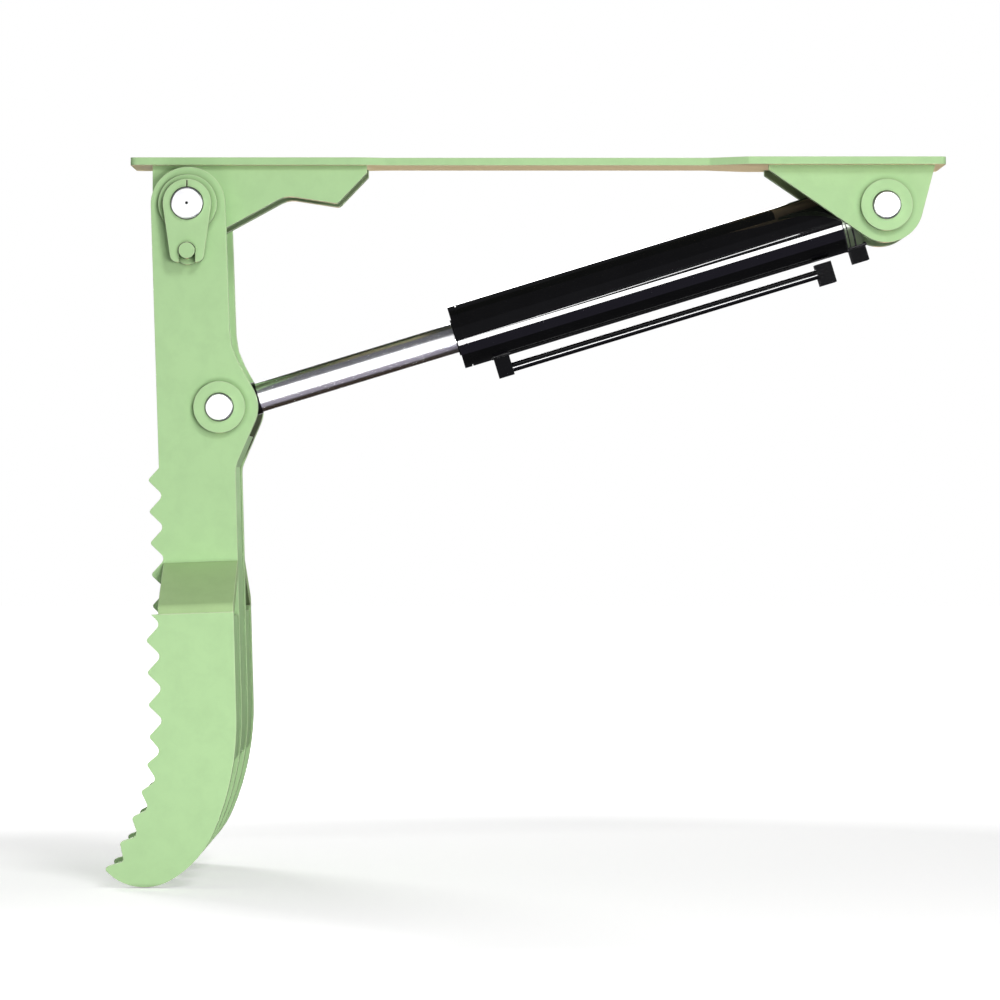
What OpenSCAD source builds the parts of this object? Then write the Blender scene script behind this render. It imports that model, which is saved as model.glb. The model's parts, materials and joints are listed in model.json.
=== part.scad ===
// Hydraulic thumb for an excavator arm, in millimetres.
// The origin is the middle of the base plate's top face, which is welded under the arm.
// X runs from the thumb pivot to the cylinder bracket, Y away from the near side, Z up.
// Side pieces are named left (near, Y below zero) and right (far, Y above zero),
// as seen by someone who faces the same way as the teeth.

/* [Linkage] */
// Distance between the thumb pivot pin and the bracket pin
pin_span = 828.6; // [800:1:860]
// Height of both pins below the top of the base plate
pin_drop = 57; // [55:0.5:66]
// Rod pin, to the right of the thumb pivot
rod_pin_x = 37.5; // [30:0.5:42]
// Rod pin, below the thumb pivot
rod_pin_down = 240.5; // [225:0.5:255]

/* [Base plate] */
// How far the base plate runs past both pins
plate_overhang = 70.2; // [62:0.5:80]
// Thickness of the base plate
base_t = 9; // [8:0.5:9]
// Width of the plate at the pivot end
base_w_pivot = 105; // [100:1:118]
// Width of the narrow middle
base_w_waist = 89; // [84:1:96]
// Width of the plate at the bracket end
base_w_bracket = 136; // [128:1:150]
// Corner radius of the plate's ends
base_corner = 8; // [4:1:12]
// Length of the wide pivot end, from the pivot pin
pivot_end_l = 205; // [190:1:220]
// Length of the wide bracket end, from the bracket pin
bracket_end_l = 164; // [150:1:180]
// Length of the taper at the pivot end
pivot_taper_l = 28; // [20:1:40]
// Length of the taper at the bracket end
bracket_taper_l = 46; // [36:1:60]

/* [Pivot lugs] */
// Thickness of each pivot lug
pivot_lug_t = 16; // [12:1:20]
// Outside width over the two pivot lugs
pivot_lug_w = 90; // [84:1:96]
// Radius of the pivot lug round the pin
pivot_lug_r = 44; // [40:0.5:45]
// Outer radius of the hub tube through both lugs
hub_r = 33; // [29:0.5:34]
// Length of the lug from the pivot pin to its toe
lug_l = 211; // [200:1:225]
// Height of the lug's square toe
lug_toe_h = 9; // [6:0.5:14]
// Nose of the lug, to the right of the pin
lug_nose_x = 176; // [168:1:184]
// Depth of the nose below the base plate
lug_nose_h = 45.5; // [38:0.5:52]
// Heel between the nose and the round end, to the right of the pin
lug_heel_x = 114.4; // [104:0.2:124]
// Depth of the lug at the heel
lug_heel_h = 35.9; // [30:0.1:40]
// Radius of the nose
lug_nose_r = 7; // [3:0.5:10]
// Radius of the heel
lug_heel_r = 30; // [10:1:40]

/* [Cylinder bracket] */
// Thickness of each bracket lug
bracket_lug_t = 14; // [10:1:18]
// Clear gap between the bracket lugs
bracket_gap = 82; // [81:1:88]
// Radius of the bracket lug round the pin
bracket_lug_r = 44; // [40:0.5:46]
// Radius of the bosses on the bracket lugs
bracket_boss_r = 30.5; // [26:0.5:34]
// Reach of the bracket lug towards the thumb
bracket_front_l = 139.5; // [125:0.5:150]
// Reach of the bracket lug past its pin
bracket_back_l = 58; // [52:0.5:60]
// Height of the bracket lug's square toe
bracket_toe_h = 6; // [4:0.5:10]

/* [Thumb] */
// Thickness of the side plates and outer tines
tine_t = 16; // [12:1:20]
// Outside width over the two side plates
box_w = 150; // [146:1:158]
// Outside width over the outer tines
spread_w = 382; // [350:1:400]
// Radius of the thumb's head round the pivot
head_r = 44; // [41:0.5:45]
// Radius of the thumb round the rod pin
elbow_r = 45; // [42:0.5:46]
// Thickness of the back plates
back_t = 12; // [8:1:14]
// Thickness of the bent flare plates
flare_t = 16; // [12:1:18]
// Thickness of the bosses on the outside of the side plates
boss_t = 8; // [5:1:12]

/* [Blade outline] */
// Depth of the teeth, before their tips and roots are rounded
tooth_d = 18; // [14:0.2:18.6]
// Spacing of the teeth along the straight edge
tooth_pitch = 37.3; // [36.5:0.1:38]
// Number of teeth on the straight part of the edge
straight_tips = 8; // [7:1:8]
// Radius at the tips of the teeth
tip_round = 3.5; // [1.5:0.5:4.5]
// Radius at the roots of the teeth
root_round = 7; // [3:0.5:8]
// Plain edge above the teeth, to the left of the pivot
edge_x = 34.4; // [32:0.2:37]
// Lower end of the plain edge, below the pivot
edge_down = 312.5; // [309:0.5:315]
// First tooth's tip, to the left of the pivot
first_tip_x = 47.7; // [45:0.1:50]
// First tooth's tip, below the pivot
first_tip_down = 327; // [325:0.5:330]
// Radius of the curved lower edge, along the tips
edge_arc_r = 260; // [240:1:290]
// Radius of the thumb's point
point_r = 3.5; // [2:0.5:5]
// Back edge of the shank, to the right of the pivot
shank_x = 49.9; // [46:0.1:53]
// Where the shank widens towards the rod pin, below the pivot
shank_down = 170; // [160:1:178]
// Radius where the shank widens
shank_blend_r = 80; // [40:1:100]
// Back edge below the rod pin, to the right of the pivot
waist_x = 56.2; // [53:0.1:59]
// Top of the straight back edge, below the pivot
waist_down = 311; // [306:1:318]
// Radius where the back edge straightens
waist_blend_r = 25; // [10:1:40]
// Back edge where it starts to curve, to the right of the pivot
back_x = 63.9; // [61:0.1:67]
// Where the back edge starts to curve, below the pivot
back_down = 600; // [592:1:608]
// First and gentlest radius of the curved back
back_r1 = 320; // [300:1:340]
// Second radius of the curved back
back_r2 = 120; // [110:1:130]
// Last radius of the curved back, under the point
back_r3 = 62; // [56:1:66]
// Top of the flares, below the pivot
flare_down = 424; // [418:0.5:430]
// Lower edge of the flares, below the pivot
flare_foot_down = 482.2; // [478:0.2:488]
// Height of the upright lip at the foot of a flare
flare_lip = 9; // [8:0.2:12]
// Radius of the bend over that lip
flare_bend_r = 10; // [6:1:16]
// How far the flares stand past the roots of the teeth
flare_front = 2.5; // [0:0.5:5]
// How far the back plates lie inside the back edge
back_inset = 2; // [0.5:0.5:3]
// Drop from the foot of a flare to the back plate behind it
wing_back_drop = 3.8; // [2:0.2:14]
// Top of the centre back plate, below the pivot
box_back_down = 274; // [273:0.5:280]

/* [Pins] */
// Diameter of the thumb pivot pin
pivot_pin_d = 37; // [32:0.5:40]
// Diameter of the rod pin and the bracket pin
cyl_pin_d = 32; // [28:0.5:34]
// Thickness of the keeper flags on the pins
flag_t = 10; // [6:1:12]
// Wall of the flags round their pins
flag_wall = 10; // [8:0.5:12]
// Chamfer on the ends of the pins
pin_chamfer = 1.5; // [0.5:0.1:2.5]
// How far the pin ends stand proud
pin_proud = 4; // [2:0.5:6]
// Distance from a pin to the stud that holds its flag
stud_drop = 56; // [54:0.5:60]
// Radius of the flag studs
stud_r = 9.4; // [8:0.2:10.5]

/* [Cylinder] */
// Outside diameter of the barrel
barrel_d = 77; // [75:0.5:78]
// Bore of the barrel
bore_d = 63; // [58:0.5:65]
// Diameter of the piston rod
rod_d = 36; // [32:0.5:38]
// Rod pin to the front of the barrel, as posed
barrel_front = 292; // [285:1:300]
// Back of the barrel tube to the bracket pin
barrel_tail = 55; // [52:0.5:58]
// Length of the gland that closes the front of the barrel
gland_l = 36; // [32:1:38]
// Piston rod travel left before the piston meets the gland
stroke_left = 78; // [76:1:90]
// Length of the piston
piston_l = 40; // [34:1:50]
// Outer radius of the rod eye
rod_eye_r = 38; // [34:0.5:39]
// Outer radius of the cap eye
cap_eye_r = 24; // [22:0.5:25]
// Width of the rod eye
rod_eye_w = 60; // [52:1:66]
// Width of the cap eye
cap_eye_w = 74; // [66:1:76]
// Outside diameter of the steel transfer tube
tube_d = 11.5; // [10:0.5:13]
// Wall of the transfer tube
tube_wall = 2; // [1:0.1:2.5]
// Transfer tube axis, below the barrel's axis
tube_drop = 53.6; // [52:0.2:56]
// Length of each port block along the barrel
block_l = 20; // [18:0.5:24]
// Width of each port block
block_w = 26; // [22:1:32]
// Radius of the port holes
port_r = 6.6; // [5:0.1:7]
// Depth of the port holes
port_depth = 11; // [9:0.5:13]
// Distance of the gland-end port from the front of the barrel
head_port_at = 45; // [42:0.5:52]
// Distance of the tube's end block from the back of the barrel
end_block_at = 34; // [30:1:44]

/* [Fits] */
// Radial running clearance of pins in their bushes
pin_fit = 0.05; // [0.02:0.01:0.1]
// Radial running clearance of the piston and the rod
slide_fit = 0.05; // [0.02:0.01:0.1]
// Wall of the bearing bushes
bush_wall = 4; // [3:0.5:5]
// Side gap between parts that turn past each other
side_gap = 0.5; // [0.4:0.1:1.5]

/* [Hidden] */
$fn = 96;
green = [0.67, 0.82, 0.60];
black = [0.07, 0.07, 0.08];
steel = [0.80, 0.81, 0.83];
bronze = [0.70, 0.52, 0.28];
seal_col = [0.16, 0.16, 0.17];

// Places of the three pins in the part's frame
pivot_x = -pin_span / 2;
bracket_x = pin_span / 2;
rod_vec = [pin_span - rod_pin_x, rod_pin_down];
cyl_len = norm(rod_vec);
cyl_tilt = atan2(rod_vec[1], rod_vec[0]);

// Faces across the width
box_in = box_w / 2 - tine_t;
boss_face = box_w / 2 + boss_t;
tine_in = spread_w / 2 - tine_t;
bracket_face = bracket_gap / 2 + bracket_lug_t;
lug_in = pivot_lug_w / 2 - pivot_lug_t;
pivot_bore_r = pivot_pin_d / 2 + pin_fit + bush_wall;
eye_bore_r = cyl_pin_d / 2 + pin_fit + bush_wall;

// Thumb outline, from the pivot: X to the right, second value upwards
edge_lean = 1.95;
back_lean = 1.6;
straight_part = 0.61;
arc_pitch = 0.858;
arc_tips = 4;
first_tip = [-first_tip_x, -first_tip_down];
straight_l = (straight_tips - 1 + straight_part) * tooth_pitch;
arc_step = arc_pitch * tooth_pitch / edge_arc_r * 180 / PI;
arc_first = arc_step - (1 - (1 - straight_part) / arc_pitch) * arc_step - 0.1;
point_turn = arc_first + (arc_tips + 1.12) * arc_step;
edge_end = [-edge_x, -edge_down];
elbow = [rod_pin_x, -rod_pin_down];
shank_end = [shank_x, -shank_down];
waist_right = [waist_x, -waist_down];
back_start = [back_x, -back_down];
back_arcs = [[back_r1, 24.6], [back_r2, 37], [back_r3, 65]];
back_end_turn = 9.6;
flare_run = (spread_w - box_w) / 2;
flare_fall = (flare_foot_down - flare_lip - flare_down) / flare_run;
flare_slope = atan(flare_fall);
bend_r = min(flare_bend_r, 0.97 * flare_lip / tan((90 - flare_slope) / 2));
edge_dir = [sin(edge_lean), -cos(edge_lean)];
edge_out = [-cos(edge_lean), -sin(edge_lean)];

// Point on the tooth edge after a turn round its arc, set in by a depth
function edge_arc(turn, inset) =
    first_tip + straight_l * edge_dir + edge_arc_r * edge_out
    - (edge_arc_r + inset) * (edge_out * cos(turn) - edge_dir * sin(turn));
function tip_at(k) = k < straight_tips
    ? first_tip + k * tooth_pitch * edge_dir
    : edge_arc(arc_first + (k - straight_tips) * arc_step, 0);
function root_at(k) = k <= straight_tips
    ? first_tip + (k - 0.5) * tooth_pitch * edge_dir - tooth_d * edge_out
    : edge_arc(arc_first + (k - straight_tips - 0.5) * arc_step, tooth_d * arc_pitch);
last_tip = straight_tips + arc_tips;
thumb_point = edge_arc(point_turn, 0);

// Arc of a given radius that turns towards the teeth, from a point and a heading
function arc_pts(p, head, r, turn, n) =
    [for (i = [1:n]) p + r * [cos(head + turn * i / n) - cos(head),
                              -(sin(head + turn * i / n) - sin(head))]];
function arc_end(p, head, r, turn) = arc_pts(p, head, r, turn, 1)[0];
back_p1 = arc_end(back_start, -back_lean, back_arcs[0][0], back_arcs[0][1]);
back_h1 = back_arcs[0][1] - back_lean;
back_p2 = arc_end(back_p1, back_h1, back_arcs[1][0], back_arcs[1][1]);
back_h2 = back_h1 + back_arcs[1][1];
back_curve = concat(
    arc_pts(back_start, -back_lean, back_arcs[0][0], back_arcs[0][1], 8),
    arc_pts(back_p1, back_h1, back_arcs[1][0], back_arcs[1][1], 8),
    arc_pts(back_p2, back_h2, back_arcs[2][0], back_arcs[2][1], 10));

// Corner list [x, y, radius] turned into points with round corners
function unit(v) = v / norm(v);
function round_at(a, b, c, r) =
    let (u = unit(a - b), v = unit(c - b), half = acos(max(-1, min(1, u * v))) / 2)
    r < 0.01 || half > 89 ? [b] :
    let (t = r / tan(half), m = b + unit(u + v) * r / sin(half),
         n = max(1, ceil((180 - 2 * half) / 15)),
         p0 = b + u * t - m, p1 = b + v * t - m,
         a0 = atan2(p0[1], p0[0]), d = atan2(p1[1], p1[0]) - a0,
         turn = d > 180 ? d - 360 : d < -180 ? d + 360 : d)
    [for (i = [0:n]) m + r * [cos(a0 + turn * i / n), sin(a0 + turn * i / n)]];
function rounded(c) = let (n = len(c)) [for (i = [0:n - 1])
    let (a = c[(i + n - 1) % n], b = c[i], d = c[(i + 1) % n])
    each round_at([a[0], a[1]], [b[0], b[1]], [d[0], d[1]], b[2])];
function with_r(p, r) = [p[0], p[1], r];

// Point where a line from outside touches a circle, on its left or right side
function touch(c, r, p, side) =
    let (v = p - c, d = norm(v), a = atan2(v[1], v[0]) + side * acos(r / d))
    c + r * [cos(a), sin(a)];
// Points round a centre from p to q, clockwise, as an outline's round end
function round_end(c, p, q) =
    let (a0 = atan2(p[1] - c[1], p[0] - c[0]), a1 = atan2(q[1] - c[1], q[0] - c[0]),
         turn = a1 < a0 ? a0 - a1 : a0 - a1 + 360, n = ceil(turn / 5), r = norm(p - c))
    [for (i = [0:n]) c + r * [cos(a0 - turn * i / n), sin(a0 - turn * i / n)]];

// Flat plate in the X and Z plane, with its outer faces at two Y values
module plate_y(y0, y1) {
    translate([0, y1, 0]) rotate([90, 0, 0]) linear_extrude(y1 - y0) children();
}
// Round bar or tube across the machine, between two Y values
module bar_y(r, y0, y1) {
    translate([0, y1, 0]) rotate([90, 0, 0]) cylinder(r = r, h = y1 - y0);
}
module tube_y(r, bore, y0, y1) {
    difference() {
        bar_y(r, y0, y1);
        bar_y(bore, y0 - 1, y1 + 1);
    }
}
// The same shape at the near side or the far side
module side(right) {
    mirror([0, right ? 1 : 0, 0]) children();
}
module at_pivot() { translate([pivot_x, 0, -pin_drop]) children(); }
module at_bracket() { translate([bracket_x, 0, -pin_drop]) children(); }
module at_rod_pin() { at_pivot() translate([elbow[0], 0, elbow[1]]) children(); }
// Along the cylinder: X runs from the rod pin to the bracket pin
module on_cyl(u = 0) { at_rod_pin() rotate([0, -cyl_tilt, 0]) translate([u, 0, 0]) children(); }
module rod_bar(r, u0, u1) { on_cyl(u0) rotate([0, 90, 0]) cylinder(r = r, h = u1 - u0); }

// Base plate with a wide end at each side of a narrow waist
module base_plate() {
    hp = base_w_pivot / 2;
    hw = base_w_waist / 2;
    hb = base_w_bracket / 2;
    end = pin_span / 2 + plate_overhang;
    neck_p = pivot_x + pivot_end_l;
    neck_b = bracket_x - bracket_end_l;
    blend = base_corner;
    far = [[-end, hp, base_corner], [neck_p, hp, blend], [neck_p + pivot_taper_l, hw, blend],
           [neck_b - bracket_taper_l, hw, blend], [neck_b, hb, blend], [end, hb, base_corner]];
    near = [for (i = [len(far) - 1:-1:0]) [far[i][0], -far[i][1], far[i][2]]];
    color(green) translate([0, 0, -base_t]) linear_extrude(base_t)
        polygon(rounded(concat(far, near)));
}

// Pivot lug: round eye, a rising lower edge and a nose that stiffens the plate
module pivot_lug_shape() {
    under = pin_drop - base_t;
    heel = [lug_heel_x, under - lug_heel_h];
    low = touch([0, 0], pivot_lug_r, heel, -1);
    polygon(rounded(concat(
        [[-pivot_lug_r, under, 0], [lug_l, under, 0], [lug_l, under - lug_toe_h, 0],
         [lug_nose_x, under - lug_nose_h, lug_nose_r], with_r(heel, lug_heel_r)],
        [for (p = round_end([0, 0], low, [-pivot_lug_r, 0])) with_r(p, 0)])));
}
module pivot_lug(right) {
    color(green) at_pivot() side(right) difference() {
        plate_y(-pivot_lug_w / 2, -lug_in) pivot_lug_shape();
        bar_y(hub_r, -pivot_lug_w, 0);
    }
}
module pivot_hub() {
    color(green) at_pivot() tube_y(hub_r, pivot_bore_r, -box_in + side_gap, box_in - side_gap);
}
module pivot_bush(right) {
    color(bronze) at_pivot() side(right)
        tube_y(pivot_bore_r, pivot_pin_d / 2 + pin_fit, -box_in + side_gap, -8);
}

// Bracket lug: round eye whose edges run tangent up to the base plate
module bracket_lug_shape() {
    under = pin_drop - base_t;
    left = [-bracket_front_l, under - bracket_toe_h];
    right_top = [bracket_back_l, under];
    a = touch([0, 0], bracket_lug_r, left, 1);
    b = touch([0, 0], bracket_lug_r, right_top, -1);
    polygon(concat([right_top], round_end([0, 0], b, a), [left, [left[0], under]]));
}
module bracket_lug(right) {
    color(green) at_bracket() side(right) difference() {
        plate_y(-bracket_face, -bracket_gap / 2) bracket_lug_shape();
        bar_y(cyl_pin_d / 2, -bracket_face - 1, 0);
    }
}
module bracket_boss(right) {
    color(green) at_bracket() side(right)
        tube_y(bracket_boss_r, cyl_pin_d / 2, -bracket_face - boss_t, -bracket_face);
}
module bracket_pin_left_end() {
    color(steel) at_bracket() union() {
        bar_y(cyl_pin_d / 2, -bracket_face - boss_t - pin_proud, -bracket_gap / 2 + 0.5);
        pin_tip(cyl_pin_d / 2, -bracket_face - boss_t - pin_proud, -1);
    }
}
module bracket_pin_right_end() {
    color(steel) at_bracket() union() {
        bar_y(cyl_pin_d / 2, bracket_gap / 2 - 0.5, bracket_face + boss_t + flag_t + pin_proud);
        pin_tip(cyl_pin_d / 2, bracket_face + boss_t + flag_t + pin_proud, 1);
    }
}
// Chamfered tip that goes on the end of a pin
module pin_tip(r, y, way) {
    translate([0, y, 0]) rotate([way > 0 ? -90 : 90, 0, 0]) rotate_extrude()
        polygon([[0, 0], [r, 0], [r - pin_chamfer, pin_chamfer], [0, pin_chamfer]]);
}

// Keeper flag: a teardrop with a fork that straddles its stud
module flag_shape(pin_r) {
    lobe = [11.5, -stud_drop - 5];
    difference() {
        hull() {
            circle(pin_r + flag_wall);
            for (s = [-1, 1]) translate([s * lobe[0], lobe[1]]) circle(8.5);
        }
        circle(pin_r);
        translate([0, -stud_drop]) circle(stud_r + 0.8);
        translate([-stud_r - 0.3, -stud_drop - 30]) square([2 * stud_r + 0.6, 30]);
    }
}
module flag(y0, pin_r) {
    plate_y(y0, y0 + flag_t) flag_shape(pin_r);
}
// Slit that lets the pivot flag close on its pin
module flag_slit(y0, pin_r) {
    translate([-0.8, y0 - 1, pin_r - 1]) cube([1.6, flag_t + 2, 9.5]);
}
module stud(y0, y1) {
    translate([0, 0, -stud_drop]) union() {
        bar_y(stud_r, min(y0, y1), max(y0, y1));
    }
}
module bracket_pin_flag() {
    color(green) at_bracket() rotate([0, 100, 0]) flag(bracket_face + boss_t, cyl_pin_d / 2);
}
module bracket_flag_stud() {
    color(green) at_bracket() rotate([0, 100, 0])
        stud(bracket_face, bracket_face + boss_t + flag_t + 3);
}

// Outline of a side plate, with teeth down its working edge
thumb_outline = let (
    left_top = touch([0, 0], head_r, edge_end, -1),
    right_top = touch([0, 0], head_r, shank_end, 1),
    elbow_in = touch(elbow, elbow_r, shank_end, -1),
    elbow_out = touch(elbow, elbow_r, waist_right, 1),
    teeth = [for (k = [last_tip:-1:0]) each [with_r(tip_at(k), tip_round),
        k > 0 ? with_r(root_at(k), root_round) : with_r(edge_end, 2)]])
    rounded(concat(
        [for (p = round_end([0, 0], left_top, right_top)) with_r(p, 0)],
        [with_r(shank_end, shank_blend_r)],
        [for (p = round_end(elbow, elbow_in, elbow_out)) with_r(p, 0)],
        [with_r(waist_right, waist_blend_r), with_r(back_start, 0)],
        [for (p = back_curve) with_r(p, 0)],
        [with_r(thumb_point, point_r),
         with_r(edge_arc(arc_first + (arc_tips + 0.5) * arc_step, tooth_d * arc_pitch), root_round / 2)],
        teeth));
module thumb_shape() {
    polygon(thumb_outline);
}
module side_plate(right) {
    color(green) at_pivot() side(right) difference() {
        plate_y(-box_w / 2, -box_in) thumb_shape();
        bar_y(pivot_pin_d / 2, -box_w, 0);
        translate([elbow[0], 0, elbow[1]]) bar_y(cyl_pin_d / 2, -box_w, 0);
    }
}
// The flares and what starts at them lie square to the leaning edge
module leaned(depth) { translate([0, -depth]) rotate(edge_lean) children(); }
module outer_tine(right) {
    color(green) at_pivot() side(right) plate_y(-spread_w / 2, -tine_in) intersection() {
        thumb_shape();
        leaned(flare_foot_down) translate([-spread_w, -2 * back_down]) square([2 * spread_w, 2 * back_down]);
    }
}

// Body of the blade without teeth, which trims the flares
module blade_shape() {
    root_top = first_tip - (tooth_d - flare_front) * edge_out;
    root_low = root_top + straight_l * edge_dir;
    polygon([root_top, root_low, [back_start[0], root_low[1]],
             waist_right + (back_start - waist_right) * 0.2, [waist_right[0], root_top[1]]]);
}
// Bent plate that leads from the side plate out to the outer tine
module flare_section() {
    top = -flare_down;
    foot = -flare_foot_down;
    drop = flare_t / cos(flare_slope);
    polygon(rounded([[-box_w / 2, top, 0],
        [-spread_w / 2, top - flare_run * flare_fall, bend_r],
        [-spread_w / 2, foot, 0], [-tine_in, foot, 0],
        [-tine_in, top - drop - (flare_run - tine_t) * flare_fall, 3],
        [-box_w / 2, top - drop, 0]]));
}
module flare_plate(right) {
    color(green) at_pivot() side(right) intersection() {
        translate([0, 0, -flare_foot_down]) rotate([0, -edge_lean, 0])
            translate([-2 * edge_x, 0, flare_foot_down]) rotate([90, 0, 90])
            linear_extrude(2 * (edge_x + back_x)) flare_section();
        plate_y(-spread_w, 0) blade_shape();
    }
}

// Strip along the back edge, from a height down to where the point starts to curl
function back_strip(top) =
    let (slope = (back_start - waist_right) / (back_start[1] - waist_right[1]),
         nrm = [-cos(back_lean), sin(back_lean)],
         out_top = waist_right + slope * (top - waist_right[1]),
         face = function (inset) concat([out_top + nrm * inset, back_start + nrm * inset],
             arc_pts(back_start + nrm * inset, -back_lean, back_arcs[0][0] - inset,
                     back_end_turn, 4)),
         outer = face(back_inset),
         inner = face(back_inset + back_t))
    concat(outer, [for (i = [len(inner) - 1:-1:0]) inner[i]]);
module back_plate_centre() {
    elbow_out = touch(elbow, elbow_r, waist_right, 1);
    run = elbow_out - waist_right;
    top = waist_right + run * (-box_back_down - waist_right[1]) / run[1];
    fold = 0.65 * back_t;
    color(green) at_pivot() plate_y(-box_in, box_in) union() {
        polygon(back_strip(waist_right[1] - fold));
        translate([-back_inset, 0])
            polygon([top, waist_right + [0.2, 0], waist_right + [0.3, -fold],
                     waist_right + [0.3 - back_t, -fold], waist_right - [1.15 * back_t, 0],
                     [top[0] - 1.08 * back_t, top[1]]]);
    }
}
module back_plate_wing(right) {
    color(green) at_pivot() side(right)
        plate_y(-tine_in, -box_w / 2) polygon(back_strip(-flare_foot_down - wing_back_drop));
}

module pivot_boss(right) {
    color(green) at_pivot() side(right)
        tube_y(hub_r + 1.5, pivot_pin_d / 2, -boss_face, -box_w / 2);
}
module rod_boss_outer(right) {
    color(green) at_rod_pin() side(right)
        tube_y(bracket_boss_r, cyl_pin_d / 2, -boss_face, -box_w / 2);
}
module rod_boss_inner(right) {
    color(green) at_rod_pin() side(right)
        tube_y(bracket_boss_r, cyl_pin_d / 2, -box_in, -rod_eye_w / 2 - side_gap);
}
module pivot_pin() {
    color(steel) at_pivot() difference() {
        union() {
            bar_y(pivot_pin_d / 2, -boss_face - flag_t - pin_proud, boss_face + pin_proud);
            pin_tip(pivot_pin_d / 2, -boss_face - flag_t - pin_proud, -1);
            pin_tip(pivot_pin_d / 2, boss_face + pin_proud, 1);
        }
        bar_y(1.8, -boss_face - 60, -boss_face - flag_t);
    }
}
module pivot_pin_flag() {
    color(green) at_pivot() difference() {
        flag(-boss_face - flag_t, pivot_pin_d / 2);
        flag_slit(-boss_face - flag_t, pivot_pin_d / 2);
    }
}
module pivot_flag_stud() {
    color(green) at_pivot() stud(-box_w / 2 - 5, -boss_face - flag_t - 6);
}
module pivot_flag_washer() {
    color(green) at_pivot() translate([0, 0, -stud_drop])
        bar_y(stud_r + 6.5, -box_w / 2 - 5, -box_w / 2);
}
module rod_pin() {
    color(steel) at_rod_pin() difference() {
        union() {
            bar_y(cyl_pin_d / 2, -boss_face - pin_proud, boss_face + flag_t + pin_proud);
            pin_tip(cyl_pin_d / 2, -boss_face - pin_proud, -1);
            pin_tip(cyl_pin_d / 2, boss_face + flag_t + pin_proud, 1);
        }
        bar_y(1.6, boss_face + flag_t, boss_face + 60);
    }
}
module rod_pin_flag() {
    color(green) at_rod_pin() rotate([0, 15, 0]) flag(boss_face, cyl_pin_d / 2);
}
module rod_flag_stud() {
    color(green) at_rod_pin() rotate([0, 15, 0]) stud(box_w / 2, boss_face + flag_t + 5);
}

// Rod side of the cylinder
neck_u = 45;
piston_u = barrel_front + gland_l + stroke_left;
piston_r = bore_d / 2 - slide_fit;
spigot_r = rod_d / 2 - 5;
module rod_eye() {
    color(black) difference() {
        union() {
            on_cyl() bar_y(rod_eye_r, -rod_eye_w / 2, rod_eye_w / 2);
            rod_bar(rod_d / 2 + 1.5, rod_eye_r - 12, neck_u);
        }
        on_cyl() bar_y(eye_bore_r, -rod_eye_w, rod_eye_w);
    }
}
module rod_bush() {
    color(bronze) on_cyl()
        tube_y(eye_bore_r, cyl_pin_d / 2 + pin_fit, -rod_eye_w / 2, rod_eye_w / 2);
}
module piston_rod() {
    color(steel) union() {
        rod_bar(rod_d / 2, neck_u, piston_u);
        rod_bar(spigot_r, piston_u - 1, piston_u + piston_l + 16);
    }
}
module piston() {
    color(steel) difference() {
        rod_bar(piston_r, piston_u, piston_u + piston_l);
        rod_bar(spigot_r, piston_u - 1, piston_u + piston_l + 1);
        difference() {
            rod_bar(piston_r + 2, piston_u + piston_l / 2 - 5, piston_u + piston_l / 2 + 5);
            rod_bar(piston_r - 5, piston_u, piston_u + piston_l);
        }
    }
}
module piston_seal() {
    color(seal_col) difference() {
        rod_bar(piston_r, piston_u + piston_l / 2 - 5, piston_u + piston_l / 2 + 5);
        rod_bar(piston_r - 5, piston_u, piston_u + piston_l);
    }
}
module piston_nut() {
    color(steel) difference() {
        on_cyl(piston_u + piston_l) rotate([0, 90, 0]) cylinder(r = 21, h = 14, $fn = 6);
        rod_bar(spigot_r, piston_u, piston_u + piston_l + 30);
    }
}

// Barrel side of the cylinder
barrel_back = cyl_len - barrel_tail;
flange_l = 9;
groove_l = 1.2;
groove_depth = 2;
seal_u = barrel_front + 16;
head_port_u = barrel_front + head_port_at;
cap_port_u = barrel_back + 11;
oil_way_r = 3.5;
end_block_u = barrel_back - end_block_at;
module barrel_tube() {
    color(black) difference() {
        rod_bar(barrel_d / 2, barrel_front + flange_l + groove_l, barrel_back);
        rod_bar(bore_d / 2, barrel_front, barrel_back + 1);
        on_cyl(head_port_u) translate([0, 0, -barrel_d / 2 - 5]) cylinder(r = 4, h = 20);
    }
}
module gland() {
    color(black) difference() {
        union() {
            rod_bar(barrel_d / 2, barrel_front, barrel_front + flange_l);
            rod_bar(barrel_d / 2 - groove_depth, barrel_front + flange_l,
                    barrel_front + flange_l + groove_l);
            rod_bar(bore_d / 2, barrel_front + flange_l, barrel_front + gland_l);
        }
        rod_bar(rod_d / 2 + slide_fit, barrel_front - 1, barrel_front + gland_l + 1);
        rod_bar(rod_d / 2 + 4, barrel_front - 1, barrel_front + 4);
        rod_bar(rod_d / 2 + 5, seal_u, seal_u + 7);
    }
}
module gland_wiper() {
    color(seal_col) difference() {
        rod_bar(rod_d / 2 + 4, barrel_front - 1.5, barrel_front + 4);
        rod_bar(rod_d / 2 + slide_fit, barrel_front - 3, barrel_front + 5);
    }
}
module rod_seal() {
    color(seal_col) difference() {
        rod_bar(rod_d / 2 + 5, seal_u, seal_u + 7);
        rod_bar(rod_d / 2 + slide_fit, seal_u - 1, seal_u + 8);
    }
}
cap_disc_l = 21;
cap_r = barrel_d / 2 - 1;
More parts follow.
